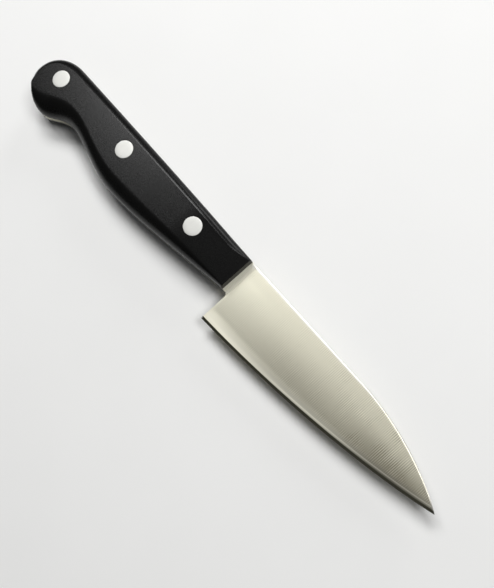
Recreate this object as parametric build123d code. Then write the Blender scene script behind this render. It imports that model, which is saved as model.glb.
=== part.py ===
from build123d import *
from math import cos, pi, sin, sqrt, tan
import os

# A paring knife with a three-layer blade, two handle scales and three two-part rivets.
# It is modelled from the handle's front end: +X to the tip, +Y to the spine, +Z out of the right face,
# with X = 0 at the handle's front, Y = 0 on the line of the rivets and Z = 0 in the middle of the blade.
# At the end the knife is laid on its left scale, with its box centred over the origin.
# All sizes are millimetres and degrees.

# Blade
blade_tip_reach = 91.75         # handle's front end to the tip
tip_drop = 3.25                 # rivet line down to the tip
heel_setback = 2.25             # handle's front end to the heel's upright line
heel_depth = 17.35              # rivet line down to the heel's corner
spine_straight = 51.8           # straight stretch of the spine, ahead of the handle
spine_tip_angle = 30            # slope of the spine where it meets the tip
edge_heel_angle = 3             # slope of the cutting edge at the heel
edge_tip_angle = 17.6           # slope of the cutting edge at the tip
notch_radius = 1.1              # inner corner between the neck and the heel
collar_reach = 0.8              # full-thickness steel that shows ahead of the handle

stock_thickness = 1.8           # tang, collar and spine at the handle
heel_thickness = 0.84           # what the flat flanks alone would leave at the heel's corner
tip_thickness = 0.5             # and at the tip
core_thickness = 0.5            # hard middle layer
bevel_height = 0.9              # cutting bevel
bevel_thickness = 0.38          # steel at the top of the cutting bevel
convex_height = 3.9             # rounded-down stretch over the cutting bevel, at full stock
convex_thickness = 1.2          # steel at the top of that stretch, at full stock

spine_pull_shares = (0.35, 0.27)
edge_pull_shares = (0.47, 0.17)

# Handle outline: the grip's turning places are measured from the butt, and the front takes what is left
handle_length = 104.8
front_rise = 6.7                # rivet line up to the spine, at the front
front_fall = 6.15               # rivet line down to the belly, at the front
crown_rise = 7.6                # rivet line up to the highest place of the spine
crown_from_butt = 12.2
palm_fall = 12.9                # rivet line down to the palm swell
palm_from_butt = 53.0
waist_fall = 8.25               # rivet line down to the waist, where the little finger sits
waist_from_butt = 25.2
beak_fall = 13.25               # rivet line down to the butt's beak
beak_from_butt = 11.0
butt_fall = 2.95                # rivet line down to the butt's rearmost place
front_spine_angle = 1.2         # slope of the spine at the front
front_belly_angle = 8.8         # slope of the belly at the front

# How far each curve of the outline keeps its end's direction, from the front of the belly round to the spine
outline_pull_shares = (
    (0.40, 0.24),               # front to palm
    (0.40, 0.28),               # palm to waist
    (0.46, 0.34),               # waist to beak
    (0.28, 0.40),               # beak to butt
    (0.47, 0.35),               # butt to crown
    (0.12, 0.35),               # crown to the ramp's start
    (0.15, 0.05),               # ramp's start to shoulder
    (0.60, 0.07),               # shoulder to front
)

# Handle scales
handle_thickness = 12.8
spine_round_width = 2.6         # rounding of each face towards the spine
spine_round_depth = 2.6
shoulder_place = 9.0            # behind the handle's front end, where that rounding starts to run out
shoulder_round_width = 6.8      # the ramp leaves only the lower part of the rounding, here and at the front
shoulder_round_depth = 5.2
butt_round_width = 2.15
front_belly_round_width = 0.9   # rounding towards the belly, over the scale's whole depth
palm_round_width = 5.2
palm_round_setback = 2.2        # the faces' turning places lie this much further back than the outline's
waist_round_width = 5.15
waist_round_setback = 2.2
beak_round_width = 4.25
beak_round_setback = 6.65
front_spine_round_width = 9.0
front_spine_round_depth = 3.04
front_turn_angle = 60           # how far the rounding's inmost line would turn outwards at the front
ramp_angle = 5                  # the faces run down to the blade ahead of the front rivet
ramp_start = 26.5               # behind the handle's front end
ramp_bend_length = 7.5
round_steps = 6                 # sections through the rounding

# Rivets, each a headed post pressed into a headed socket
front_rivet_place = 20.7        # behind the handle's front end
butt_rivet_margin = 10.5        # ahead of the butt
rivet_head_diameter = 6.4
rivet_head_thickness = 1.8
socket_diameter = 4.2
post_diameter = 2.8
head_clearance = 0.04           # round a head in its seat
shank_clearance = 0.1           # round a socket in the scales and the tang
press_clearance = 0.02          # round a post in its socket
socket_end_gap = 0.6            # socket's open end to the far head
post_end_gap = 0.4              # post's end to the bottom of the bore

overrun = 5.0                   # how far a cut or a blank reaches past what it shapes

# Places worked out from the sizes
stock_half = stock_thickness / 2
core_half = core_thickness / 2
handle_half = handle_thickness / 2
scale_depth = handle_half - stock_half
head_seat = handle_half - rivet_head_thickness
palm_place = handle_length - palm_from_butt
waist_place = handle_length - waist_from_butt
beak_place = handle_length - beak_from_butt
crown_place = handle_length - crown_from_butt
shoulder_rise = front_rise + shoulder_place * tan(front_spine_angle * pi / 180)
ramp_rise = front_rise + ramp_start * tan(front_spine_angle * pi / 180)
butt_rivet_place = handle_length - butt_rivet_margin
middle_rivet_place = (front_rivet_place + butt_rivet_place) / 2
rivet_places = {"front": -front_rivet_place, "middle": -middle_rivet_place, "butt": -butt_rivet_place}

BACK = Vector(-1, 0, 0)
AHEAD = Vector(1, 0, 0)
UP = Vector(0, 1, 0)


def sloped(way, degrees):
    """A direction of travel, turned to the left by some degrees."""
    return way.rotate(Axis.Z, degrees)


def curve(start, start_way, end, end_way, pull_shares):
    """One curve from start to end, which keeps each end's direction for a share of its span."""
    span = (end - start).length
    leaving = start + start_way * (pull_shares[0] * span)
    arriving = end - end_way * (pull_shares[1] * span)
    return Bezier(start, leaving, arriving, end)


def rounding_share(height, depth):
    """How far in a quarter ellipse has come at a height over the tang, as a share of its width."""
    rise = max(0.0, height - (scale_depth - depth)) / depth
    return 1 - sqrt(max(0.0, 1 - rise * rise))


def outline_turns(height):
    """The turning places of the handle's outline at a height over the tang, each with its way of travel."""
    spine_in = rounding_share(height, spine_round_depth)
    shoulder_in = rounding_share(height, shoulder_round_depth)
    front_in = rounding_share(height, front_spine_round_depth)
    belly_in = rounding_share(height, scale_depth)
    places = [
        (0, -front_fall + front_belly_round_width * belly_in),
        (-palm_place - palm_round_setback * belly_in, -palm_fall + palm_round_width * belly_in),
        (-waist_place - waist_round_setback * belly_in, -waist_fall + waist_round_width * belly_in),
        (-beak_place - beak_round_setback * belly_in, -beak_fall + beak_round_width * belly_in),
        (-handle_length + butt_round_width * spine_in, -butt_fall),
        (-crown_place, crown_rise - spine_round_width * spine_in),
        (-ramp_start, ramp_rise - spine_round_width * spine_in),
        (-shoulder_place, shoulder_rise - shoulder_round_width * shoulder_in),
        (0, front_rise - front_spine_round_width * front_in),
    ]
    belly_way = sloped(BACK, front_belly_angle * (1 - belly_in))
    spine_way = sloped(AHEAD, -front_spine_angle)
    front_way = sloped(spine_way, front_turn_angle * front_in)
    ways = [belly_way, BACK, BACK, BACK, UP, AHEAD, spine_way, spine_way, front_way]
    return [(Vector(x, y, stock_half + height), way) for (x, y), way in zip(places, ways)]


def outline_curves(height):
    """The handle's outline at a height over the tang, from the belly's front end round to the spine's."""
    turns = outline_turns(height)
    curves = []
    for (start, start_way), (end, end_way), shares in zip(turns, turns[1:], outline_pull_shares):
        curves.append(curve(start, start_way, end, end_way, shares))
    return curves


def ramp_waste():
    """All that lies outside the right face where it bends and runs down to the blade."""
    bend_radius = ramp_bend_length / sin(ramp_angle * pi / 180)
    mid_turn = ramp_angle * pi / 360
    bend_end = -ramp_start + ramp_bend_length
    bend_low = handle_half - bend_radius * (1 - cos(ramp_angle * pi / 180))
    bend_middle = (-ramp_start + bend_radius * sin(mid_turn), handle_half - bend_radius * (1 - cos(mid_turn)))
    low = bend_low - (overrun - bend_end) * tan(ramp_angle * pi / 180)
    high = handle_half + overrun
    profile = make_face([
        ThreePointArc((-ramp_start, handle_half), bend_middle, (bend_end, bend_low)),
        Line((bend_end, bend_low), (overrun, low)),
        Line((overrun, low), (overrun, high)),
        Line((overrun, high), (-ramp_start, high)),
        Line((-ramp_start, high), (-ramp_start, handle_half)),
    ])
    return extrude(Plane.XZ * profile, amount=beak_fall + overrun, both=True)


def upright_cylinder(place, diameter, low, high):
    """A cylinder on the rivet line, from one height to another."""
    return Pos(place, 0, (low + high) / 2) * Cylinder(diameter / 2, high - low)


def rivet_bores():
    """All that the right scale loses for its rivets: a seat for each head, and a bore for each shank."""
    head_diameter = rivet_head_diameter + 2 * head_clearance
    shank_diameter = socket_diameter + 2 * shank_clearance
    bores = []
    for place in rivet_places.values():
        bores.append(upright_cylinder(place, head_diameter, head_seat, handle_half + overrun))
        bores.append(upright_cylinder(place, shank_diameter, 0, head_seat))
    return bores


def right_scale():
    """A scale: sections of the outline, each further in towards the face, skinned and then cut."""
    sections = []
    for step in range(round_steps + 1):
        height = scale_depth * sin(step / round_steps * pi / 2)
        curves = outline_curves(height)
        front = Line(curves[-1] @ 1, curves[0] @ 0)
        sections.append(Wire([*curves, front]))
    return Solid.make_loft(sections) - [ramp_waste(), *rivet_bores()]


def blade_blank():
    """The flat outline of the blade and tang, left larger below the edge, which the grinding then makes."""
    tang = outline_curves(-stock_half)
    tip = Vector(blade_tip_reach, -tip_drop)
    tip_way = sloped(AHEAD, -spine_tip_angle)
    spine_turn = Vector(spine_straight, front_rise)
    past_tip = tip + tip_way * overrun
    below = -heel_depth - overrun
    neck_bottom = Vector(heel_setback, -front_fall)
    notch_start = neck_bottom - Vector(0, notch_radius)
    notch_end = neck_bottom - Vector(notch_radius, 0)
    notch_middle = neck_bottom - Vector(notch_radius, notch_radius) * (1 - sin(pi / 4))
    edges = [
        *tang,
        Line(tang[-1] @ 1, spine_turn),
        curve(spine_turn, AHEAD, tip, tip_way, spine_pull_shares),
        Line(tip, past_tip),
        Line(past_tip, (past_tip.X, below)),
        Line((past_tip.X, below), (heel_setback, below)),
        Line((heel_setback, below), notch_start),
        ThreePointArc(notch_start, notch_middle, notch_end),
        Line(notch_end, tang[0] @ 0),
    ]
    return make_face(edges)


def flank_wedge():
    """The space between the two flat flanks, which draw together towards the edge and towards the tip."""
    at_neck = Vector(0, front_rise, stock_half)
    at_heel = Vector(heel_setback, -heel_depth, heel_thickness / 2)
    at_tip = Vector(blade_tip_reach, -tip_drop, tip_thickness / 2)
    across = (at_heel - at_neck).cross(at_tip - at_neck)
    flank = Plane(at_neck, x_dir=at_tip - at_neck, z_dir=across)
    length = blade_tip_reach + overrun - collar_reach
    depth = heel_depth + crown_rise + 2 * overrun
    middle = Vector(collar_reach + length / 2, (crown_rise - heel_depth) / 2, 0)
    block = Pos(middle) * Box(length, depth, 2 * stock_thickness)
    right_half = split(block, bisect_by=flank, keep=Keep.BOTTOM)
    return right_half & mirror(right_half, about=Plane.XY)


def edge_section(lift, level):
    """What the edge grinding leaves at one level: all that lies over the cutting edge, raised by the lift."""
    raise_by = Vector(0, lift, level)
    heel = Vector(heel_setback, -heel_depth) + raise_by
    tip = Vector(blade_tip_reach, -tip_drop) + raise_by
    rear = -overrun
    front = blade_tip_reach + 2 * overrun
    top = crown_rise + 2 * overrun
    return Wire([
        Line((rear, heel.Y, level), heel),
        curve(heel, sloped(AHEAD, edge_heel_angle), tip, sloped(AHEAD, edge_tip_angle), edge_pull_shares),
        Line(tip, (front, tip.Y, level)),
        Line((front, tip.Y, level), (front, top, level)),
        Line((front, top, level), (rear, top, level)),
        Line((rear, top, level), (rear, heel.Y, level)),
    ])


def edge_grinding():
    """The cutting bevel and the steeper stretch above it, the same on both sides of the edge."""
    lifts = [(convex_height + bevel_height, convex_thickness / 2), (bevel_height, bevel_thickness / 2)]
    upper = [edge_section(lift, level) for lift, level in lifts]
    lower = [edge_section(lift, -level) for lift, level in reversed(lifts)]
    return Solid.make_loft([*upper, edge_section(0, 0), *lower], ruled=True)


def blade_form():
    """The tang with its collar, and the ground blade, before they are told apart into layers."""
    tang_length = handle_length + overrun + collar_reach
    tang_middle = Vector(collar_reach - tang_length / 2, 0, 0)
    tang = Pos(tang_middle) * Box(tang_length, 2 * (beak_fall + overrun), stock_thickness)
    ground = flank_wedge() & edge_grinding()
    outline = extrude(blade_blank(), amount=stock_thickness, both=True)
    hole = socket_diameter + 2 * shank_clearance
    holes = []
    for place in rivet_places.values():
        holes.append(upright_cylinder(place, hole, -stock_thickness, stock_thickness))
    return [(outline & tang) - holes, outline & ground]


def layer(forms, low, high):
    """One layer of the steel, between two heights."""
    length = handle_length + blade_tip_reach + 2 * overrun
    middle = Vector((blade_tip_reach - handle_length) / 2, 0, (low + high) / 2)
    slab = Pos(middle) * Box(length, 2 * (heel_depth + overrun), high - low)
    tang, ground = forms
    return (tang & slab) + (ground & slab)


def rivet_socket(place):
    """The upper half of a rivet: a head, and a tube that takes the post."""
    head = upright_cylinder(place, rivet_head_diameter, head_seat, handle_half) - ramp_waste()
    tube = upright_cylinder(place, socket_diameter, -head_seat + socket_end_gap, head_seat)
    bore = upright_cylinder(place, post_diameter + 2 * press_clearance, -head_seat, head_seat)
    return head + (tube - bore)


def rivet_post(place):
    """The lower half of a rivet: a head, and the post that is pressed into the socket."""
    left_waste = mirror(ramp_waste(), about=Plane.XY)
    head = upright_cylinder(place, rivet_head_diameter, -handle_half, -head_seat) - left_waste
    post = upright_cylinder(place, post_diameter, -head_seat, head_seat - post_end_gap)
    return head + post


def knife_pieces():
    """Every piece of the knife by its name, in place round the blade."""
    forms = blade_form()
    scale = right_scale()
    pieces = {
        "blade_core": layer(forms, -core_half, core_half),
        "blade_cladding_right": layer(forms, core_half, stock_half),
        "blade_cladding_left": layer(forms, -stock_half, -core_half),
        "handle_scale_right": scale,
        "handle_scale_left": mirror(scale, about=Plane.XY),
    }
    for name, place in rivet_places.items():
        pieces["rivet_socket_" + name] = rivet_socket(place)
        pieces["rivet_post_" + name] = rivet_post(place)
    return pieces


def laid_down(pieces):
    """Lays the knife on its left scale, with the middle of its box over the origin."""
    solids = [solid for piece in pieces.values() for solid in piece.solids()]
    box = Compound(solids).bounding_box()
    middle = box.center()
    to_rest = Pos(-middle.X, -middle.Y, -box.min.Z)
    return {name: to_rest * piece for name, piece in pieces.items()}


os.makedirs("parts", exist_ok=True)
for name, piece in laid_down(knife_pieces()).items():
    export_step(piece, "parts/" + name + ".step")
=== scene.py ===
import math

import bmesh
import bpy
import numpy as np
from mathutils import Matrix, Vector


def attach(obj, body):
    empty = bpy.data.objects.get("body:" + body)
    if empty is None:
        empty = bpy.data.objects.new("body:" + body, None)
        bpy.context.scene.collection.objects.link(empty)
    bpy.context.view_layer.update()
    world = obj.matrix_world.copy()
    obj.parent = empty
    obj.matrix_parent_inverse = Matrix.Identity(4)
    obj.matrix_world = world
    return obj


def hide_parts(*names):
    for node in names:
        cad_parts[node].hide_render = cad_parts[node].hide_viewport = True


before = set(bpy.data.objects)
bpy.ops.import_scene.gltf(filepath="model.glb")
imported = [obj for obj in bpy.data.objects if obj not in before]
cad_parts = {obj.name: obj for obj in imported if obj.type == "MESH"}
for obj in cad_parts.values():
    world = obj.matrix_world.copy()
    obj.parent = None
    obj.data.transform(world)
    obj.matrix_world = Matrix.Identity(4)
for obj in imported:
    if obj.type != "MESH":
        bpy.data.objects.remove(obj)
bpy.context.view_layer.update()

# The steel: core and claddings
# The blade and tang are one bar, a hard core rolled between two softer stainless claddings, cut to outline.
# A belt grinds down both sides, leaves fine lines across the blade and lays the core bare along the edge.
# All sizes are millimetres, from the handle's front on the rivet line.
MM = 0.001
KNIFE_PLACE = np.array([6.5301, 4.8595, 6.405])    # that zero, as the knife lies on its left scale

TIP = np.array([91.75, -3.25])
HEEL = np.array([2.25, -17.35])
SPINE_TURN = np.array([51.8, 6.7])              # where the spine starts to fall to the tip
SPINE_TIP_ANGLE = -30
EDGE_ANGLES = (3, 17.6)                         # slope of the edge at the heel and at the tip
SPINE_PULLS = (0.35, 0.27)
EDGE_PULLS = (0.47, 0.17)

NECK_BOTTOM = -6.15
NOTCH_RADIUS = 1.1
COLLAR_REACH = 0.8
COLLAR_STEP = 0.12                              # the belt's wheel leaves a short slope at the collar

STOCK_HALF = 0.9
CORE_HALF = 0.25
HEEL_HALF = 0.42
TIP_HALF = 0.25
BEVEL_HEIGHT = 0.9
BEVEL_TOP_HALF = 0.19
BAND_SLOPE = 0.105                              # how fast the steel thins in the band over the bevel
BAND_BLEND = 0.022                              # softness of the turn from the flank to that band
NECK_HOLLOW = 0.035                             # and digs a little deeper just ahead of it
NECK_HOLLOW_PLACE = 4.2
NECK_HOLLOW_REACH = 3.4

EASE_WIDTH = 0.40                               # the spine's corners are rounded off
EASE_CURVED_WIDTH = 0.15                        # and more so along its curve
EASE_CURVED_PLACE = 72
EASE_CURVED_REACH = 15
EASE_DEPTH = 0.14
EASE_SHARE = 0.8                                # the rounding takes this much of the cladding at most
EASE_START = 0.1                                # ahead of the handle's front it is at its full width
HEEL_BREAK = 0.14                               # the heel's upright end is rounded off too
CORNER_BREAK = 0.04
TIP_BLUNT = 0.05                                # the blade ends this much before its sharp point
SHELL_GAP = 0.004                               # keeps the tang's shell clear of the blade's

# The handle's outline turns at eight places. Over the whole rounding each moves in and its heading turns.
HANDLE_LENGTH = 104.8
TURN_PLACES = np.array([
    (0, -6.15),                                 # front of the belly
    (-51.8, -12.9),                             # palm swell
    (-79.6, -8.25),                             # waist
    (-93.8, -13.25),                            # beak
    (-HANDLE_LENGTH, -2.95),                    # butt
    (-92.6, 7.6),                               # crown
    (-9.0, 6.889),                              # shoulder
    (0, 6.7),                                   # front of the spine
])
MOVES_INWARDS = np.array([
    (-0.3, 0.9), (-2.2, 5.2), (-2.2, 5.15), (-6.65, 4.25), (2.15, 0), (0, -2.6), (0, -2.45), (-0.3, -0.6),
])
TURN_HEADINGS = np.array([188.8, 180, 180, 180, 90, 0, -1.2, -1.2])
HEADING_TURNS = np.array([-8.8, 0, 0, 0, 0, 0, 0, 17])
OUTLINE_PULLS = (
    (0.40, 0.24), (0.40, 0.28), (0.46, 0.34), (0.28, 0.40), (0.47, 0.35), (0.12, 0.35), (0.25, 0.40),
)
BEAK_RUN = 3                                    # runs of the outline up to beak, butt and shoulder
BUTT_RUN = 4
SHOULDER_RUN = 6
CURVE_POINTS = 97
SPINE_POINTS = 400
EDGE_POINTS = 600
SEARCH_POINTS = 1200
MERGE_REACH = 0.0002
PLAN_SIZE = 200                                 # side of the square that the UV map covers


def heading(degrees):
    """Direction at an angle from +X: its cosine and its sine."""
    angle = np.radians(degrees)
    return np.stack([np.cos(angle), np.sin(angle)], axis=-1)


def cubic(start, start_way, end, end_way, pulls, count):
    """Points A(1-t)^3 + 3B(1-t)^2 t + 3C(1-t)t^2 + D t^3, with B and C along the ends' ways by a share of
    the span."""
    span = np.linalg.norm(end - start, axis=-1, keepdims=True)
    leaving = start + start_way * pulls[0] * span
    arriving = end - end_way * pulls[1] * span
    t = np.linspace(0, 1, count)[:, None]
    weights = [(1 - t) ** 3, 3 * (1 - t) ** 2 * t, 3 * (1 - t) * t ** 2, t ** 3]
    return sum(w * p[..., None, :] for w, p in zip(weights, (start, leaving, arriving, end)))


def handle_outline(share):
    """The handle's outline at each share of its rounding, from the belly's front round to the spine's front.
    Each turning place moves in from the silhouette in proportion to the share, and cubic curves join them."""
    share = np.asarray(share, float)[..., None]
    places = TURN_PLACES + MOVES_INWARDS * share[..., None]
    ways = heading(TURN_HEADINGS + HEADING_TURNS * share)
    runs = []
    for i, pulls in enumerate(OUTLINE_PULLS):
        start, start_way = places[..., i, :], ways[..., i, :]
        end, end_way = places[..., i + 1, :], ways[..., i + 1, :]
        runs.append(cubic(start, start_way, end, end_way, pulls, CURVE_POINTS)[..., :-1, :])
    return np.concatenate([*runs, places[..., -1:, :]], axis=-2)


steel_outline = handle_outline(0.0)
butt_index = BUTT_RUN * (CURVE_POINTS - 1)
belly_points = steel_outline[butt_index::-1]
spine_points = steel_outline[butt_index:]
spine_curve = cubic(SPINE_TURN, heading(0), TIP, heading(SPINE_TIP_ANGLE), SPINE_PULLS, SPINE_POINTS)
edge_curve = cubic(HEEL, heading(EDGE_ANGLES[0]), TIP, heading(EDGE_ANGLES[1]), EDGE_PULLS, EDGE_POINTS)
spine_line = np.vstack([spine_points, spine_curve])
flank_corners = np.array([[1, 0, SPINE_TURN[1]], [1, *HEEL], [1, *TIP]])
flank_plane = np.linalg.solve(flank_corners, [STOCK_HALF, HEEL_HALF, TIP_HALF])


def height_on(line, x):
    """Height of a line over a place along the knife, straight between its many points."""
    return np.interp(x, line[:, 0], line[:, 1])


def bottom_of_neck(x):
    """Lower end of the steel behind the heel: the belly's line, then level, then round the notch's corner."""
    corner = np.clip(x - (HEEL[0] - NOTCH_RADIUS), 0, None)
    arc = NECK_BOTTOM - NOTCH_RADIUS + np.sqrt(np.clip(NOTCH_RADIUS ** 2 - corner ** 2, 0, None))
    return np.where(x < 0, height_on(belly_points, x), arc)


def smooth(x):
    """Rises from 0 to 1 with level ends: 3x^2 - 2x^3."""
    x = np.clip(x, 0, 1)
    return x * x * (3 - 2 * x)


def flank_half(x, y):
    """Half the thickness of the flat flank: a plane over x and y."""
    return flank_plane[0] + flank_plane[1] * x + flank_plane[2] * y


def half_thickness(x, y):
    """Half the steel's thickness: the lowest of flank, band and bevel, with flank and band run softly
    together. The flank is a plane with a shallow hollow near the collar, and the other two rise evenly over
    the edge."""
    hollow = NECK_HOLLOW * np.exp(-((x - NECK_HOLLOW_PLACE) / NECK_HOLLOW_REACH) ** 2)
    flank = flank_half(x, y) - hollow
    over_edge = y - height_on(edge_curve, x)
    band = BEVEL_TOP_HALF + (over_edge - BEVEL_HEIGHT) * BAND_SLOPE
    bevel = BEVEL_TOP_HALF * over_edge / BEVEL_HEIGHT
    ground = -BAND_BLEND * np.logaddexp(-flank / BAND_BLEND, -band / BAND_BLEND)
    ground = np.clip(np.minimum(ground, bevel), 0, None)
    left_full = np.clip((COLLAR_REACH + COLLAR_STEP - x) / COLLAR_STEP, 0, 1)
    return ground + (STOCK_HALF - ground) * left_full


def cladding_line(x):
    """Height over which the steel is thicker than its core, found along many places from edge to spine."""
    share = np.linspace(0, 1, SEARCH_POINTS)
    low, high = height_on(edge_curve, x)[:, None], height_on(spine_line, x)[:, None]
    y = low + share * (high - low)
    thick = half_thickness(x[:, None], y)
    first = np.clip(np.argmax(thick >= CORE_HALF, axis=1), 1, None)
    found = (thick >= CORE_HALF).any(axis=1)
    row = np.arange(len(x))
    thinner, thicker = thick[row, first - 1], thick[row, first]
    rise = (CORE_HALF - thinner) / np.clip(thicker - thinner, 1e-9, None)
    line = y[row, first - 1] + np.clip(rise, 0, 1) * (y[row, first] - y[row, first - 1])
    return np.where(found, line, high[:, 0])


def grid_faces(rows, columns):
    """Quads between neighbouring points of a grid, whose last column meets its first."""
    row, column = np.meshgrid(np.arange(rows - 1), np.arange(columns), indexing="ij")
    here, above, beside = row * columns, (row + 1) * columns, (column + 1) % columns
    corners = [here + column, here + beside, above + beside, above + column]
    return np.stack(corners, axis=-1).reshape(-1, 4)


def capped_faces(grid):
    """Faces of a grid of cross-sections along X with both ends closed, turned outwards: the middle section's
    area, half the sum of y(i) z(i+1) - y(i+1) z(i), is below zero where the points run clockwise."""
    rows, columns = grid.shape[:2]
    ends = [list(range(columns))[::-1], list(range((rows - 1) * columns, rows * columns))]
    faces = grid_faces(rows, columns).tolist() + ends
    y, z = grid[rows // 2, :, 1], grid[rows // 2, :, 2]
    clockwise = np.sum(y * np.roll(z, -1) - np.roll(y, -1) * z) < 0
    return [face[::-1] for face in faces] if clockwise else faces


def piece_of(name, shells, sharp_degrees, marks=()):
    """One object from grids of millimetre points that wrap round. Each shell says if its ends are capped.
    Its doubles are merged, its faces turned outwards, and only edges over the given angle stay sharp.
    Its UV map is the plan of the knife, so that the steel's gloss is stretched along it."""
    points, faces, first = [], [], 0
    for grid, capped in shells:
        rows, columns = grid.shape[:2]
        shell_faces = capped_faces(grid) if capped else grid_faces(rows, columns).tolist()
        faces += [[corner + first for corner in face] for face in shell_faces]
        points.append(grid.reshape(-1, 3))
        first += rows * columns
    mesh = bpy.data.meshes.new(name)
    mesh.from_pydata((np.vstack(points) + KNIFE_PLACE) * MM, [], faces)
    for mark, shares in dict(marks).items():
        mesh.attributes.new(mark, "FLOAT", "POINT").data.foreach_set("value", shares.astype(np.float32))
    made = bmesh.new()
    made.from_mesh(mesh)
    bmesh.ops.remove_doubles(made, verts=made.verts, dist=MERGE_REACH * MM)
    bmesh.ops.dissolve_degenerate(made, edges=made.edges, dist=MERGE_REACH * MM / 2)
    if not shells[0][1]:
        bmesh.ops.recalc_face_normals(made, faces=made.faces)
    made.to_mesh(mesh)
    made.free()
    mesh.shade_smooth()
    mesh.set_sharp_from_angle(angle=math.radians(sharp_degrees))
    corners = np.empty(len(mesh.loops), np.int32)
    places = np.empty(len(mesh.vertices) * 3, np.float32)
    mesh.loops.foreach_get("vertex_index", corners)
    mesh.vertices.foreach_get("co", places)
    flat_places = places.reshape(-1, 3)[corners, :2] / (PLAN_SIZE * MM) + 0.5
    mesh.uv_layers.new(name="plan").data.foreach_set("uv", flat_places.ravel())
    piece = bpy.data.objects.new(name, mesh)
    bpy.context.scene.collection.objects.link(piece)
    return piece


def fitted(piece, node, finish):
    """Puts a piece in its node's place, with its finish."""
    piece.data.materials.append(finish)
    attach(piece, "root")
    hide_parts(node)


# How finely the steel's shells are divided, in rows up the side and stations along the knife
EASE_STEPS = 6
LOW_CROWDING = 1.5                              # power that draws a cladding's rows down to its low end
BEVEL_SHARE = 0.6                               # the bevel's rows take this much of the bare core at most
CROWDED_TIP = 80                                # ahead of this the stations crowd towards the tip
CROWDED_BUTT = -88                              # and behind this towards the butt
BLADE_ROWS = 44
TANG_ROWS = 16
CORE_BLADE_ROWS = 8
CORE_TANG_ROWS = 2
BLADE_STATIONS = 260
TIP_STATIONS = 40
TANG_STATIONS = 200
BUTT_STATIONS = 50
NOTCH_STATIONS = 14
MID_COLLAR = 0.45
JUST_BELOW = 1e-3                               # the spine's thickness is taken this far below it


def eased(x, room):
    """Width and depth of the spine's rounded corner: a mere break in the tang, and wider along the curve."""
    ahead = np.clip(x / EASE_START, 0, 1)
    curved = np.exp(-((x - EASE_CURVED_PLACE) / EASE_CURVED_REACH) ** 2)
    width = CORNER_BREAK + (EASE_WIDTH + EASE_CURVED_WIDTH * curved - CORNER_BREAK) * ahead
    thick = half_thickness(x, height_on(spine_line, x))
    depth = CORNER_BREAK + (EASE_DEPTH - CORNER_BREAK) * ahead
    depth = np.clip(np.minimum(depth, EASE_SHARE * (thick - CORE_HALF)), 0, None)
    return np.minimum(width, room / 2), depth


def cladding_shell(x, low, rows):
    """One cladding along its stations: from its low end over the flank, round the spine's corner and back
    inside. The heel's end is rounded off by a quarter of a parabola."""
    high = height_on(spine_line, x)
    width, depth = eased(x, high - low)
    share = np.linspace(0, 1, rows) ** LOW_CROWDING
    y = low[:, None] + share * (high - width - low)[:, None]
    z = half_thickness(x[:, None], y)
    from_heel = np.clip((x[:, None] - HEEL[0]) / HEEL_BREAK, 0, 1)
    on_cladding = np.clip((z - CORE_HALF) / HEEL_BREAK, 0, 1) * (x[:, None] >= HEEL[0])
    z -= HEEL_BREAK / 2 * (1 - from_heel) ** 2 * on_cladding
    z[:, 0] = np.maximum(z[:, 0], CORE_HALF)
    turn = np.linspace(0, np.pi / 2, EASE_STEPS)[1:]
    corner_y = (high - width)[:, None] + width[:, None] * np.sin(turn)
    corner_z = z[:, -1:] - depth[:, None] * (1 - np.cos(turn))
    inside = np.full_like(high, CORE_HALF)
    ys = np.column_stack([y, corner_y, high, low])
    zs = np.column_stack([z, corner_z, inside, inside])
    return np.stack([np.broadcast_to(x[:, None], ys.shape), ys, zs], axis=-1)


def core_shell(x, low, top_of_bare, rows):
    """The core along its stations: its bare side up from the low end, then between the claddings, the same
    on both sides."""
    high = height_on(spine_line, x)
    over = np.clip(top_of_bare - low, 0, None)
    bevel = np.minimum(BEVEL_HEIGHT, BEVEL_SHARE * over)[:, None]
    ramp = np.linspace(0, 1, rows)
    y = low[:, None] + np.column_stack([bevel * ramp, bevel + (over[:, None] - bevel) * ramp[1:]])
    z = np.minimum(half_thickness(x[:, None], y), CORE_HALF)
    top = np.minimum(half_thickness(x, high), CORE_HALF)
    right = np.stack([np.column_stack([y, high]), np.column_stack([z, top])], axis=-1)
    left = right[:, ::-1] * [1, -1]
    ring = np.concatenate([right, left], axis=1)
    return np.concatenate([np.broadcast_to(x[:, None, None], ring.shape[:2] + (1,)), ring], axis=-1)


def crowded(start, end, count, at_start):
    """Places between two ends, crowded towards one of them as the cosine is."""
    share = 1 - np.cos(np.linspace(0, np.pi / 2, count))
    share = share if at_start else 1 - share[::-1]
    return start + (end - start) * share


blade_stations = np.concatenate([
    HEEL[0] + HEEL_BREAK * np.array([0, 0.25, 0.5, 0.75]),
    np.linspace(HEEL[0] + HEEL_BREAK, CROWDED_TIP, BLADE_STATIONS),
    crowded(CROWDED_TIP, TIP[0] - TIP_BLUNT, TIP_STATIONS, False)[1:],
])
thick_at_spine = half_thickness(blade_stations, height_on(spine_line, blade_stations) - JUST_BELOW)
thin_half = len(blade_stations) // 2
clad_end = np.interp(-CORE_HALF, -thick_at_spine[thin_half:], blade_stations[thin_half:])
clad_stations = np.append(blade_stations[thick_at_spine > CORE_HALF], clad_end)
tang_stations = np.concatenate([
    crowded(-HANDLE_LENGTH, CROWDED_BUTT, BUTT_STATIONS, True),
    np.linspace(CROWDED_BUTT, -EASE_START, TANG_STATIONS)[1:],
    [0, EASE_START, MID_COLLAR, COLLAR_REACH, COLLAR_REACH + COLLAR_STEP, HEEL[0] - NOTCH_RADIUS],
    crowded(HEEL[0] - NOTCH_RADIUS, HEEL[0] - SHELL_GAP, NOTCH_STATIONS, False)[1:],
])
tang_low = bottom_of_neck(tang_stations)
clad_low = cladding_line(clad_stations)
clad_low[-1] = height_on(spine_line, clad_end)
clad_low_all = cladding_line(blade_stations)

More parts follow.
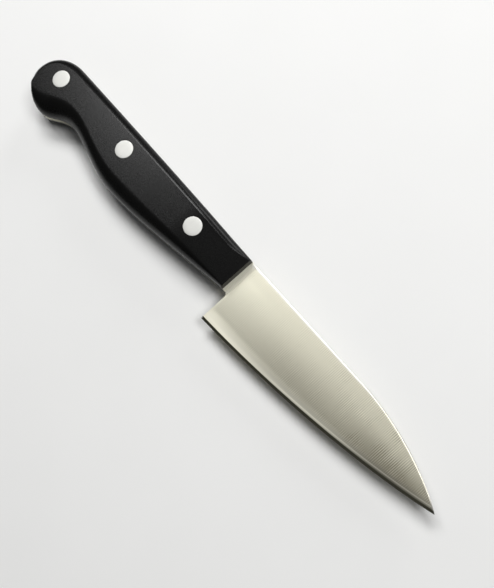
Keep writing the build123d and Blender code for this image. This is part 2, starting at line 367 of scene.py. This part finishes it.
cladding_right = [
    (cladding_shell(clad_stations, clad_low, BLADE_ROWS), True),
    (cladding_shell(tang_stations, tang_low, TANG_ROWS), True),
]
cladding_left = [(grid * [1, 1, -1], capped) for grid, capped in cladding_right]
core_layers = [
    (core_shell(blade_stations, height_on(edge_curve, blade_stations), clad_low_all, CORE_BLADE_ROWS), True),
    (core_shell(tang_stations, tang_low, tang_low, CORE_TANG_ROWS), True),
]

# Marks on the steel: its finishes, and light and shade painted into its colour
# Each row gives the mark's strength, where it has one, then its places and the lengths over which it fades.
BEVEL_FADE = 0.06
TANG_RIM_PAINTED_SHADE = (0.85, -0.2)                         # painted shade on the tang's rim, behind this place
BAND_HAZE = (1.6, 2.4)                          # ends this far over the band
COLLAR_PAINTED_LIGHT = (0.9, 3.0, 1.4)                   # painted light on the collar, where the handle's front shades it; ends at this place ahead of the handle
SPINE_POLISH_AND_PAINTED_SHADE = (0.9, 0.16, 0.2, 0.4, 0.6)       # smoother finish and painted shade on the spine, past its rounding, and from this place on
TIP_LOSS_OF_SPINE_POLISH_AND_SHADE = (0.6, 45, 20)                      # what is lost of it past this place
PAINTED_FALL_REACH = 110                                # painted light: the steel is painted paler towards the heel
LOW_SHADE = (0.27, 2, 10, 40)                   # painted shade below this height, fading in ahead of the handle
TIP_SHADE = (0.26, 50, 28, 1.5, 6)              # painted shade ahead of this place and below this height
UPPER_SHADE = (0.2, -2, 8, 30)                  # painted shade above this height, fading out ahead of the handle
SPINE_SHADE = (0.28, 0.2, 0.3)                  # painted shade past the spine's rounding
COLLAR_LIGHT = (0.06, 1.5, 1.2, 6, 7)           # a painted highlight at this height and this place
FOOT_LIGHT = (0.25, 2.8, 1.6, 30)               # a painted highlight up to this far over the edge, fading out ahead
RIM_LIGHT = (0.35, 0.14, 20, 25)                # to either side of the claddings' rim, past this place
RIM_LINE_AND_PAINTED_LIGHT_LIMIT = 1.1

rim_over = clad_low_all - height_on(edge_curve, blade_stations)
rim_line = np.column_stack([blade_stations, rim_over])


def past_heel(x, reach):
    """Falls from 1 ahead of the handle's front: e to the power of minus x over the reach."""
    return np.exp(-np.clip(x, 0, None) / reach)


def collar_painted_light_share(x):
    """How much painted light lies on the collar, where the handle's front shades it: 1 at the handle's front,
    falling to 0 where it ends.
    """
    _, end, fade = COLLAR_PAINTED_LIGHT
    return smooth((end - x) / fade) * (x >= 0)


def haze_and_painted_collar_light_share(x, y, over):
    """The haze over the band above the bevel and the painted light on the collar: the higher of the two at
    each place.
    """
    past, fade = BAND_HAZE
    band_top = BEVEL_HEIGHT + (flank_half(x, y) - BEVEL_TOP_HALF) / BAND_SLOPE
    band = smooth((band_top + past - over) / fade) * (x >= HEEL[0])
    return np.clip(np.maximum(band, COLLAR_PAINTED_LIGHT[0] * collar_painted_light_share(x)), 0, 1)


def rim_line_and_painted_light_at(x, y, over, below):
    """Painted light and shade on the steel, and its lighter line along the claddings' rim: a painted fall
    from the heel to the tip, less four painted shades, plus painted highlights ahead of the collar and at the
    band's foot.
    The shades lie low down, towards the tip's edge, high up near the heel and on the rounded spine."""
    rim_line_and_painted_light = past_heel(x, PAINTED_FALL_REACH)
    strength, top, fade, reach = LOW_SHADE
    rim_line_and_painted_light -= strength * np.clip((top - y) / fade, 0, 1) * smooth(x / reach)
    strength, start, fade, top, fade_down = TIP_SHADE
    rim_line_and_painted_light -= strength * smooth((x - start) / fade) * smooth((top - y) / fade_down)
    strength, foot, fade, reach = UPPER_SHADE
    rim_line_and_painted_light -= strength * smooth((y - foot) / fade) * past_heel(x, reach) * (1 - collar_painted_light_share(x))
    strength, past, fade = SPINE_SHADE
    rim_line_and_painted_light -= strength * smooth((EASE_WIDTH + past - below) / fade)
    strength, height, half_height, place, half_length = COLLAR_LIGHT
    rim_line_and_painted_light += strength * np.exp(-((y - height) / half_height) ** 2 - ((x - place) / half_length) ** 2)
    strength, top, fade, reach = FOOT_LIGHT
    rim_line_and_painted_light += strength * smooth((top - over) / fade) * past_heel(x, reach) * (x >= HEEL[0])
    strength, reach, start, fade = RIM_LIGHT
    rim_line_and_painted_light += strength * np.exp(-np.abs(over - height_on(rim_line, x)) / reach) * smooth((x - start) / fade)
    return np.clip(rim_line_and_painted_light, 0, RIM_LINE_AND_PAINTED_LIGHT_LIMIT)


def spine_polish_and_painted_shade_share(x, below):
    """How much smoother finish and painted shade the steel has: along the blade's rounded spine, less so
    towards the tip; the shade dims the spine's highlight.
    """
    strength, past, fade, start, fade_in = SPINE_POLISH_AND_PAINTED_SHADE
    loss, loss_start, loss_fade = TIP_LOSS_OF_SPINE_POLISH_AND_SHADE
    kept = strength - loss * smooth((x - loss_start) / loss_fade)
    return smooth((EASE_WIDTH + past - below) / fade) * smooth((x - start) / fade_in) * kept


def zone_marks(shells):
    """Shares of the marks at each point: the bevel painted dark for its dark reflection and the tang's rim
    painted dark for shade, the band's haze with the collar's painted light, the painted light and shade with
    the rim line, and the spine's smoother finish with its painted shade.
    """
    x, y = (np.concatenate([grid[..., i].ravel() for grid, _ in shells]) for i in (0, 1))
    over, below = y - height_on(edge_curve, x), height_on(spine_line, x) - y
    on_bevel = np.clip(1 + (BEVEL_HEIGHT - over) / BEVEL_FADE, 0, 1) * (x >= HEEL[0])
    tang_strength, tang_end = TANG_RIM_PAINTED_SHADE
    return {
        "painted_dark_bevel_and_rim": on_bevel + tang_strength * (x < tang_end),
        "haze_and_painted_collar_light": haze_and_painted_collar_light_share(x, y, over) * (1 - on_bevel),
        "rim_line_and_painted_light": rim_line_and_painted_light_at(x, y, over, below),
        "spine_polish_and_painted_shade": spine_polish_and_painted_shade_share(x, below),
    }


LINE_SCALE = 523                                # waves 0.6 mm apart, as the belt leaves them
LINE_DEPTH = 0.002
COARSE_SHARE = 0.45                             # of the coarse noise in the two together
BLADE_GLOSS = (0.43, 0.37)                      # roughness in the dark lines and between them
BLADE_STRETCH = (LINE_SCALE, 60, 12)
BLADE_WAVE_SHARE = 0.45
BLADE_SPREAD = 0.72
# The lines deepen between two places along the knife, and break off where a noise is low.
LINES_DEEPEN = {"From_Min": 25 * MM, "From_Max": 75 * MM, "To_Min": 0.14, "To_Max": 0.75}
LINES_BREAK = {"From_Min": 0.38, "From_Max": 0.64, "To_Min": 0.1, "To_Max": 0.95}
HAZE_COLOURS = ((0.06, 0.055, 0.043), (0.90, 0.875, 0.73))   # far out and at the heel, mixed by the painted light and shade
FINISHES_AND_PAINTED_LIGHT = (                                    # mark, colour and roughness, but the haze has two colours; the colours are partly painted dark, light and shade
    ("haze_and_painted_collar_light", None, 0.56),
    ("painted_dark_bevel_and_rim", (0.32, 0.31, 0.23), 0.38),
    ("spine_polish_and_painted_shade", (0.70, 0.69, 0.65), 0.38),
)
# The steel's colours are mixed by its lines and by the painted light and shade marked on it
CLADDING_COLOURS = ((0.26, 0.24, 0.18), (0.95, 0.925, 0.76))
CORE_COLOURS = ((0.22, 0.20, 0.15), (0.80, 0.76, 0.60))
STEEL_CREASE_ANGLE = 25


def nodes_of(tree):
    """Short ways to add a node with its values and to join two sockets."""
    def add(kind, **values):
        node = tree.nodes.new(kind)
        for name, value in values.items():
            if hasattr(node, name):
                setattr(node, name, value)
            else:
                node.inputs[name.replace("_", " ")].default_value = value
        return node

    def join(source, output, target, entry):
        tree.links.new(source.outputs[output], target.inputs[entry])

    return add, join


def colour_mix(add, colours):
    """A node that mixes two colours by its factor."""
    return add("ShaderNodeMix", data_type="RGBA", A=(*colours[0], 1), B=(*colours[1], 1))


def ground_lines():
    """A group of belt lines: even waves along the vector's X, wavering a little, under two noises."""
    group = bpy.data.node_groups.new("ground_lines", "ShaderNodeTree")
    group.interface.new_socket("Vector", in_out="INPUT", socket_type="NodeSocketVector")
    group.interface.new_socket("Wave Share", in_out="INPUT", socket_type="NodeSocketFloat")
    group.interface.new_socket("Lines", in_out="OUTPUT", socket_type="NodeSocketFloat")
    add, join = nodes_of(group)
    entry = add("NodeGroupInput")
    wave = add("ShaderNodeTexWave", Scale=1.0, Distortion=3.0, Detail=1.0, Detail_Scale=0.35)
    fine = add("ShaderNodeTexNoise", Scale=7.0, Detail=2.0, Roughness=0.6)
    coarse = add("ShaderNodeTexNoise", Scale=0.55, Detail=2.0, Roughness=0.5)
    noises = add("ShaderNodeMix", data_type="FLOAT", Factor=COARSE_SHARE)
    blend = add("ShaderNodeMix", data_type="FLOAT")
    out = add("NodeGroupOutput")
    for texture in (wave, fine, coarse):
        join(entry, "Vector", texture, "Vector")
    join(fine, "Fac", noises, "A")
    join(coarse, "Fac", noises, "B")
    join(entry, "Wave Share", blend, "Factor")
    join(noises, "Result", blend, "A")
    join(wave, "Fac", blend, "B")
    join(blend, "Result", out, "Lines")
    return group


lines_group = ground_lines()


def ground_steel(name, colours, roughness, stretch_by, wave_share, spread):
    """Belt-ground steel: its lines darken the colour, vary the gloss and stand as a low relief.
    The wheel leaves it duller across the lines than along them, hence the stretched gloss."""
    material = bpy.data.materials.new(name)
    material.use_nodes = True
    add, join = nodes_of(material.node_tree)
    shader = material.node_tree.nodes["Principled BSDF"]
    shader.inputs["Metallic"].default_value = 1.0
    shader.inputs["Anisotropic"].default_value = spread
    along = add("ShaderNodeTangent", direction_type="UV_MAP", uv_map="plan")
    place = add("ShaderNodeTexCoord")
    stretch = add("ShaderNodeMapping", Scale=stretch_by)
    lines = add("ShaderNodeGroup", node_tree=lines_group)
    lines.inputs["Wave Share"].default_value = wave_share
    tone = add("ShaderNodeMapRange", From_Min=0.2, From_Max=0.8)
    tint = colour_mix(add, colours)
    gloss = add("ShaderNodeMapRange", From_Min=0.2, From_Max=0.8, To_Min=roughness[0], To_Max=roughness[1])
    relief = add("ShaderNodeBump", Strength=1.0, Distance=LINE_DEPTH * MM)
    join(along, "Tangent", shader, "Tangent")
    join(place, "Object", stretch, "Vector")
    join(stretch, "Vector", lines, "Vector")
    join(lines, "Lines", tone, "Value")
    join(tone, "Result", tint, "Factor")
    join(tint, "Result", shader, "Base Color")
    join(lines, "Lines", gloss, "Value")
    join(gloss, "Result", shader, "Roughness")
    join(lines, "Lines", relief, "Height")
    join(relief, "Normal", shader, "Normal")
    return material, tint, gloss


def deepen_lines(add, join, tint):
    """Makes the mix of two colours follow the lines more and more towards the tip, in patches, around the
    painted light and shade, with the rim line, that is marked on the steel: (lines - 0.5) x depth x patches +
    that mark."""
    tone = tint.inputs["Factor"].links[0].from_node
    place = add("ShaderNodeTexCoord")
    parts = add("ShaderNodeSeparateXYZ")
    depth = add("ShaderNodeMapRange", **LINES_DEEPEN)
    patches = add("ShaderNodeTexNoise", Scale=240.0, Detail=3.0)
    broken = add("ShaderNodeMapRange", **LINES_BREAK)
    uneven = add("ShaderNodeMath", operation="MULTIPLY")
    centred = add("ShaderNodeMath", operation="SUBTRACT")
    centred.inputs[1].default_value = 0.5
    deepened = add("ShaderNodeMath", operation="MULTIPLY_ADD")
    rim_line_and_painted_light = add("ShaderNodeAttribute", attribute_name="rim_line_and_painted_light")
    join(place, "Object", parts, "Vector")
    join(parts, "X", depth, "Value")
    join(place, "Object", patches, "Vector")
    join(patches, "Fac", broken, "Value")
    join(broken, "Result", uneven, 0)
    join(depth, "Result", uneven, 1)
    join(tone, "Result", centred, 0)
    join(centred, "Value", deepened, 0)
    join(uneven, "Value", deepened, 1)
    join(rim_line_and_painted_light, "Fac", deepened, 2)
    join(deepened, "Value", tint, "Factor")
    return rim_line_and_painted_light


def blade_steel(name, colours):
    """Ground steel whose lines deepen towards the tip, with three more marks: the soft haze over the bevel,
    with painted light on the collar; the finer cut of the bevel itself, painted dark for its dark reflection,
    with painted shade on the tang's rim; and a smoother finish on the spine, with painted shade that dims its
    highlight."""
    material, tint, gloss = ground_steel(
        name, colours, BLADE_GLOSS, BLADE_STRETCH, BLADE_WAVE_SHARE, BLADE_SPREAD)
    add, join = nodes_of(material.node_tree)
    shader = material.node_tree.nodes["Principled BSDF"]
    rim_line_and_painted_light = deepen_lines(add, join, tint)
    haze_and_light_mark = add("ShaderNodeAttribute", attribute_name="haze_and_painted_collar_light")
    scatter = add("ShaderNodeMapRange", To_Min=1.0, To_Max=0.15)
    haze_tint = colour_mix(add, HAZE_COLOURS)
    join(haze_and_light_mark, "Fac", scatter, "Value")
    join(scatter, "Result", shader, "Metallic")
    join(rim_line_and_painted_light, "Fac", haze_tint, "Factor")
    last_colour, last_gloss = (tint, "Result"), (gloss, "Result")
    for mark, colour, dullness in FINISHES_AND_PAINTED_LIGHT:
        share = add("ShaderNodeAttribute", attribute_name=mark)
        tint_over = add("ShaderNodeMix", data_type="RGBA")
        if colour:
            tint_over.inputs["B"].default_value = (*colour, 1)
        else:
            join(haze_tint, "Result", tint_over, "B")
        gloss_over = add("ShaderNodeMix", data_type="FLOAT", B=dullness)
        join(share, "Fac", tint_over, "Factor")
        join(share, "Fac", gloss_over, "Factor")
        join(*last_colour, tint_over, "A")
        join(*last_gloss, gloss_over, "A")
        last_colour, last_gloss = (tint_over, "Result"), (gloss_over, "Result")
    join(*last_colour, shader, "Base Color")
    join(*last_gloss, shader, "Roughness")
    return material


cladding_finish = blade_steel("cladding_steel", CLADDING_COLOURS)
core_finish = blade_steel("core_steel", CORE_COLOURS)
for name, shells, node, slot, finish in (
    ("core_layer", core_layers, "blade_core", "core_steel", core_finish),
    ("right_cladding", cladding_right, "blade_cladding_right", "cladding_steel", cladding_finish),
    ("left_cladding", cladding_left, "blade_cladding_left", "cladding_steel", cladding_finish),
):
    fitted(piece_of(name, shells, STEEL_CREASE_ANGLE, zone_marks(shells)), node, finish)

# The handle scales
# Two scales of smooth matte black resin lie on either side of the tang and are sanded flush with it.
# Each has a flat face with a rounded rim, and runs down to the blade ahead of the front rivet.
# It has three seats for the rivet heads.
HANDLE_HALF = 6.4
RAMP_START = -26.5
RAMP_BEND = 7.5
RAMP_ANGLE = math.radians(5)
SPINE_ROUND_DEPTH = 2.6
FRONT_ROUND_DEPTH = 1.1                         # the spine's rounding runs out to this at the front
BELLY_LAND = 0.4                                # upright strip left under the belly's rounding
FRONT_BREAK = 0.3
FRONT_TURN = 0.1                                # share of the front in which a corner's rounding ends
RIVET_PLACES = {"front": -20.7, "middle": -57.5, "butt": -94.3}
SEAT_RADIUS = 3.29
SEAT_BREAK = 0.06
SEAT_FLOOR = 4.6
BORE_RADIUS = 2.2
FRONT_POINTS = 48
FACE_POINTS = 26                                # from the rim to a seat, and across between two cells
ROUND_STEPS = 32
CREASE_SHARE = 0.15                             # left out of the spine's rounding where it meets the face
CREASE_ANGLE = 9                                # every sharper turn of the scales is a crease
WALL_RUB = 6                                    # powers by which the rubbing falls off from the crease
FACE_RUB = 4

front_shares = np.linspace(0, 1, FRONT_POINTS + 2)[1:-1]


def face_height(x):
    """Half the handle's thickness: level, then round a long bend, then evenly down to the blade."""
    radius = RAMP_BEND / math.sin(RAMP_ANGLE)
    bend_end = RAMP_START + RAMP_BEND
    bend = HANDLE_HALF - radius + np.sqrt(radius ** 2 - np.clip(x - RAMP_START, 0, RAMP_BEND) ** 2)
    return bend - np.clip(x - bend_end, 0, None) * math.tan(RAMP_ANGLE)


def roundings(outline):
    """Depth of the rounding and its crease at each column: the whole scale deep and soft along the belly,
    less deep and creased from the butt to the spine's front."""
    depth = face_height(outline[:, 0]) - STOCK_HALF - BELLY_LAND
    count = CURVE_POINTS - 1
    past_beak = smooth((np.arange(len(outline)) - BEAK_RUN * count) / count)
    past_shoulder = smooth((np.arange(len(outline)) - SHOULDER_RUN * count) / count)
    spine_depth = SPINE_ROUND_DEPTH + (FRONT_ROUND_DEPTH - SPINE_ROUND_DEPTH) * past_shoulder
    depth += (spine_depth - depth) * past_beak
    from_spine, from_belly = smooth(front_shares / FRONT_TURN), smooth((1 - front_shares) / FRONT_TURN)
    spine_side = (depth[-1] - FRONT_BREAK) * (1 - from_spine)
    belly_side = (depth[0] - FRONT_BREAK) * (1 - from_belly)
    crease = CREASE_SHARE * np.concatenate([past_beak, 1 - from_spine])
    return np.concatenate([depth, FRONT_BREAK + spine_side + belly_side]), crease


def scale_wall():
    """The scale's side from the tang up to its face, as quarter ellipses: in by the cosine, up by the sine.
    Where there is a crease, the way up stops short of the quarter's end, and meets the face at an angle."""
    turn = np.linspace(0, np.pi / 2, ROUND_STEPS)
    outline = handle_outline(1 - np.cos(turn))
    front = outline[:, -1:] + (outline[:, :1] - outline[:, -1:]) * front_shares[:, None]
    rings = np.concatenate([outline, front], axis=1)
    depth, crease = roundings(outline[0])
    rise = np.sin(turn[:, None] * (1 - crease)) / np.cos(np.pi / 2 * crease)
    z = face_height(rings[..., 0]) - depth * (1 - rise)
    rounded = np.concatenate([rings, z[..., None]], axis=-1)
    foot = rounded[:1] * [1, 1, 0] + [0, 0, STOCK_HALF]
    return np.concatenate([foot, rounded])


def nearest_column(wall, x, columns):
    """The column among some whose foot lies nearest to a place along the handle."""
    return columns[np.argmin(np.abs(wall[-1, columns, 0] - x))]


def cell_columns(wall):
    """Splits the wall's columns into one loop round each rivet, halfway between the rivets."""
    spine_front, total = len(steel_outline) - 1, wall.shape[1]
    places = list(RIVET_PLACES.values())
    belly, spine = [], []
    for a, b in zip(places, places[1:]):
        belly.append(nearest_column(wall, (a + b) / 2, np.arange(0, butt_index)))
        spine.append(nearest_column(wall, (a + b) / 2, np.arange(butt_index, spine_front + 1)))
    return {
        "front": [np.concatenate([np.arange(spine[0], total), np.arange(0, belly[0] + 1)])],
        "middle": [np.arange(belly[0], belly[1] + 1), np.arange(spine[1], spine[0] + 1)],
        "butt": [np.arange(belly[1], spine[1] + 1)],
    }


def closed_loop(ring, runs):
    """Joins runs of a ring's points into one loop, with straight rows of points across the handle."""
    across = np.linspace(0, 1, FACE_POINTS)[1:-1, None]
    points = []
    for run, following in zip(runs, [*runs[1:], runs[0]]):
        points += [ring[run], ring[run[-1]] + (ring[following[0]] - ring[run[-1]]) * across]
    return np.concatenate(points)


def cell(wall, runs, place):
    """Face, seat, bore and underside round one rivet: rings from the rim in to the seat, down, and out."""
    upper, lower = closed_loop(wall[-1], runs), closed_loop(wall[0], runs)
    centre = np.array([place, 0])
    out = (upper[:, :2] - centre) / np.linalg.norm(upper[:, :2] - centre, axis=1, keepdims=True)
    seat_rim = centre + out * (SEAT_RADIUS + SEAT_BREAK)
    share = np.linspace(1, 0, FACE_POINTS)[:, None, None]
    face = seat_rim + (upper[:, :2] - seat_rim) * share
    rings = [np.concatenate([face, face_height(face[..., :1])], axis=-1)]
    seat_top = centre + out * SEAT_RADIUS
    rings.append(np.concatenate([seat_top, face_height(seat_top[:, :1]) - SEAT_BREAK], axis=-1)[None])
    for radius, z in ((SEAT_RADIUS, SEAT_FLOOR), (BORE_RADIUS, SEAT_FLOOR), (BORE_RADIUS, STOCK_HALF)):
        rings.append(np.column_stack([centre + out * radius, np.full(len(out), z)])[None])
    return np.concatenate([*rings, lower[None]])


def rub_marks(wall, cells):
    """How much each point is rubbed in use: most where the rounding turns into the face, none in seats."""
    wall_marks = np.zeros(wall.shape[:2])
    wall_marks[1:] = np.sin(np.linspace(0, np.pi / 2, ROUND_STEPS))[:, None] ** WALL_RUB
    marks = [wall_marks.ravel()]
    for grid in cells:
        ring_marks = np.zeros(grid.shape[:2])
        ring_marks[:FACE_POINTS] = np.linspace(1, 0, FACE_POINTS)[:, None] ** FACE_RUB
        marks.append(ring_marks.ravel())
    return {"rub": np.concatenate(marks)}


RESIN_COLOURS = ((0.0028, 0.0028, 0.0027), (0.0046, 0.0046, 0.0044))
RESIN_GLOSS = {"From_Min": 0.3, "From_Max": 0.7, "To_Min": 0.24, "To_Max": 0.31}
RUB_SHINE = -0.03                               # change of roughness where hands rub it
GRAIN_DEPTH = 0.008


def moulded_resin():
    """Matte black resin: a very fine grain in relief and gloss, and a little more shine where hands rub."""
    material = bpy.data.materials.new("handle_plastic")
    material.use_nodes = True
    add, join = nodes_of(material.node_tree)
    shader = material.node_tree.nodes["Principled BSDF"]
    shader.inputs["Specular IOR Level"].default_value = 0.17
    place = add("ShaderNodeTexCoord")
    grain = add("ShaderNodeTexNoise", Scale=2600.0, Detail=3.0, Roughness=0.6)
    cloud = add("ShaderNodeTexNoise", Scale=160.0, Detail=2.0)
    rub = add("ShaderNodeAttribute", attribute_name="rub")
    tint = colour_mix(add, RESIN_COLOURS)
    rough = add("ShaderNodeMapRange", **RESIN_GLOSS)
    rubbed = add("ShaderNodeMath", operation="MULTIPLY_ADD")
    rubbed.inputs[1].default_value = RUB_SHINE
    relief = add("ShaderNodeBump", Strength=1.0, Distance=GRAIN_DEPTH * MM)
    join(place, "Object", grain, "Vector")
    join(place, "Object", cloud, "Vector")
    join(cloud, "Fac", tint, "Factor")
    join(tint, "Result", shader, "Base Color")
    join(grain, "Fac", rough, "Value")
    join(rub, "Fac", rubbed, 0)
    join(rough, "Result", rubbed, 2)
    join(rubbed, "Value", shader, "Roughness")
    join(grain, "Fac", relief, "Height")
    join(relief, "Normal", shader, "Normal")
    return material


wall = scale_wall()
cells = [cell(wall, runs, RIVET_PLACES[name]) for name, runs in cell_columns(wall).items()]
scale_marks = rub_marks(wall, cells)
scale_right = [(grid, False) for grid in (wall, *cells)]
scale_left = [(grid * [1, 1, -1], capped) for grid, capped in scale_right]
resin_finish = moulded_resin()
for name, shells, node in (
    ("right_scale", scale_right, "handle_scale_right"),
    ("left_scale", scale_left, "handle_scale_left"),
):
    fitted(piece_of(name, shells, CREASE_ANGLE, scale_marks), node, resin_finish)

# The rivets
# Three rivets hold the scales to the tang, each a headed post pressed into the bore of a headed socket.
# They are stainless steel, and their heads are sanded flat with the scales, so they follow the front's slope.
HEAD_RADIUS = 3.2
HEAD_BREAK = 0.1
HEAD_BREAK_START = 0.01                         # drop of the break's upper ring
SOCKET_RADIUS = 2.1
SOCKET_BORE = 1.42
SOCKET_END = -4.0
POST_RADIUS = 1.4
POST_END = 4.2
TURN_POINTS = 96
RIVET_COLOURS = ((0.53, 0.53, 0.505), (0.61, 0.61, 0.585))
RIVET_GLOSS = (0.62, 0.54)
RIVET_STRETCH = (500, 12, 12)
RIVET_WAVE_SHARE = 0.2
RIVET_SPREAD = 0.3
RIVET_CREASE_ANGLE = 30

head_profile = [
    (0, HANDLE_HALF),
    (HEAD_RADIUS / 2, HANDLE_HALF),
    (HEAD_RADIUS - 2 * HEAD_BREAK, HANDLE_HALF),
    (HEAD_RADIUS - HEAD_BREAK, HANDLE_HALF - HEAD_BREAK_START),
    (HEAD_RADIUS - 0.3 * HEAD_BREAK, HANDLE_HALF - 0.3 * HEAD_BREAK),
    (HEAD_RADIUS, HANDLE_HALF - HEAD_BREAK),
    (HEAD_RADIUS, SEAT_FLOOR),
]
socket_profile = [
    *head_profile,
    (SOCKET_RADIUS, SEAT_FLOOR),
    (SOCKET_RADIUS, SOCKET_END),
    (SOCKET_BORE, SOCKET_END),
    (SOCKET_BORE, SEAT_FLOOR),
    (0, SEAT_FLOOR),
]
post_profile = [*head_profile, (POST_RADIUS, SEAT_FLOOR), (POST_RADIUS, -POST_END), (0, -POST_END)]


def turned(profile, place, side):
    """A profile turned round the rivet's axis: x and y are its radius by the cosine and sine of the turn.
    Points over the seat's floor drop with the face of the handle."""
    angle = np.linspace(0, 2 * np.pi, TURN_POINTS, endpoint=False)
    radius, level = np.array(profile, float).T
    x = place + radius[:, None] * np.cos(angle)
    y = radius[:, None] * np.sin(angle)
    above = (level > SEAT_FLOOR)[:, None]
    z = level[:, None] + np.where(above, face_height(x) - HANDLE_HALF, 0)
    return np.stack([x, y, z * side], axis=-1)


rivet_finish = ground_steel(
    "rivet_metal", RIVET_COLOURS, RIVET_GLOSS, RIVET_STRETCH, RIVET_WAVE_SHARE, RIVET_SPREAD)[0]
for name, place in RIVET_PLACES.items():
    socket = piece_of(name + "_socket", [(turned(socket_profile, place, 1), False)], RIVET_CREASE_ANGLE)
    post = piece_of(name + "_post", [(turned(post_profile, place, -1), False)], RIVET_CREASE_ANGLE)
    fitted(socket, "rivet_socket_" + name, rivet_finish)
    fitted(post, "rivet_post_" + name, rivet_finish)

# The table and the light
# The knife lies on a plain pale table under five soft lamps: two beyond the handle's end, one low beyond the
# spine, one nearly overhead, which the blade mirrors, and one beyond the tip.
FLOOR_HALF_WIDTH = 2.5
FLOOR_COLOURS = ((0.79, 0.79, 0.78), (0.82, 0.82, 0.81))
LAMPS = (                                       # name, place and size in metres, power in watts
    ("over_handle", (-0.51, 0.19, 0.71), (0.3, 0.24), 2.9),
    ("over_spine", (-0.37, 0.41, 0.71), (0.25, 0.25), 3.0),
    ("beyond_spine", (-0.25, 0.82, 0.32), (0.3, 0.3), 1.5),
    ("overhead", (0.13, 0.045, 0.89), (0.3, 0.3), 0.3),
    ("beyond_tip", (0.315, 0.315, 0.78), (0.3, 0.3), 3.2),
)
SKY_COLOUR = (0.98, 0.99, 1.0)
SKY_STRENGTH = 0.05


def table_top():
    """A flat square under the knife."""
    mesh = bpy.data.meshes.new("table_top")
    w = FLOOR_HALF_WIDTH
    mesh.from_pydata([(-w, -w, 0), (w, -w, 0), (w, w, 0), (-w, w, 0)], [], [(0, 1, 2, 3)])
    material = bpy.data.materials.new("table_paint")
    material.use_nodes = True
    add, join = nodes_of(material.node_tree)
    shader = material.node_tree.nodes["Principled BSDF"]
    shader.inputs["Roughness"].default_value = 0.8
    shader.inputs["Specular IOR Level"].default_value = 0.2
    place = add("ShaderNodeTexCoord")
    mottle = add("ShaderNodeTexNoise", Scale=30.0, Detail=4.0)
    tint = colour_mix(add, FLOOR_COLOURS)
    join(place, "Object", mottle, "Vector")
    join(mottle, "Fac", tint, "Factor")
    join(tint, "Result", shader, "Base Color")
    mesh.materials.append(material)
    floor = bpy.data.objects.new("table_top", mesh)
    bpy.context.scene.collection.objects.link(floor)
    return floor


def soft_light(name, place, size, power):
    """A rectangular lamp that faces the knife."""
    lamp = bpy.data.lights.new(name, "AREA")
    lamp.shape = "RECTANGLE"
    lamp.size, lamp.size_y = size
    lamp.energy = power
    light = bpy.data.objects.new(name, lamp)
    light.location = place
    light.rotation_mode = "QUATERNION"
    light.rotation_quaternion = (-Vector(place)).to_track_quat("-Z", "Y")
    bpy.context.scene.collection.objects.link(light)


def open_sky():
    """A faint even light from all sides."""
    world = bpy.data.worlds.new("studio")
    world.use_nodes = True
    background = world.node_tree.nodes["Background"]
    background.inputs["Color"].default_value = (*SKY_COLOUR, 1)
    background.inputs["Strength"].default_value = SKY_STRENGTH
    bpy.context.scene.world = world


table_top()
for lamp in LAMPS:
    soft_light(*lamp)
open_sky()
bpy.context.scene.view_settings.view_transform = "Standard"

# The camera
# It stands some 210 mm over the blade and looks down and a little back, as the photograph was taken.
CAMERA_PLACE = KNIFE_PLACE + [66.387, -2.796, 213.4]
CAMERA_RIGHT = (0.6397, 0.7484, -0.1749)
CAMERA_DOWN = (0.7193, -0.6632, -0.2068)
CAMERA_AHEAD = (-0.2708, 0.0065, -0.9626)
SENSOR_WIDTH = 36
PICTURE_LONG_SIDE = 588
FOCAL_PIXELS = 700
NEAREST_SEEN = 10

camera_data = bpy.data.cameras.new("camera")
camera_data.sensor_width = SENSOR_WIDTH
camera_data.lens = FOCAL_PIXELS * SENSOR_WIDTH / PICTURE_LONG_SIDE
camera_data.clip_start = NEAREST_SEEN * MM
camera = bpy.data.objects.new("camera", camera_data)
axes = np.array([CAMERA_RIGHT, [-v for v in CAMERA_DOWN], [-v for v in CAMERA_AHEAD]]).T
camera.matrix_world = Matrix.Translation(CAMERA_PLACE * MM) @ Matrix(axes.tolist()).to_4x4()
bpy.context.scene.collection.objects.link(camera)
bpy.context.scene.camera = camera
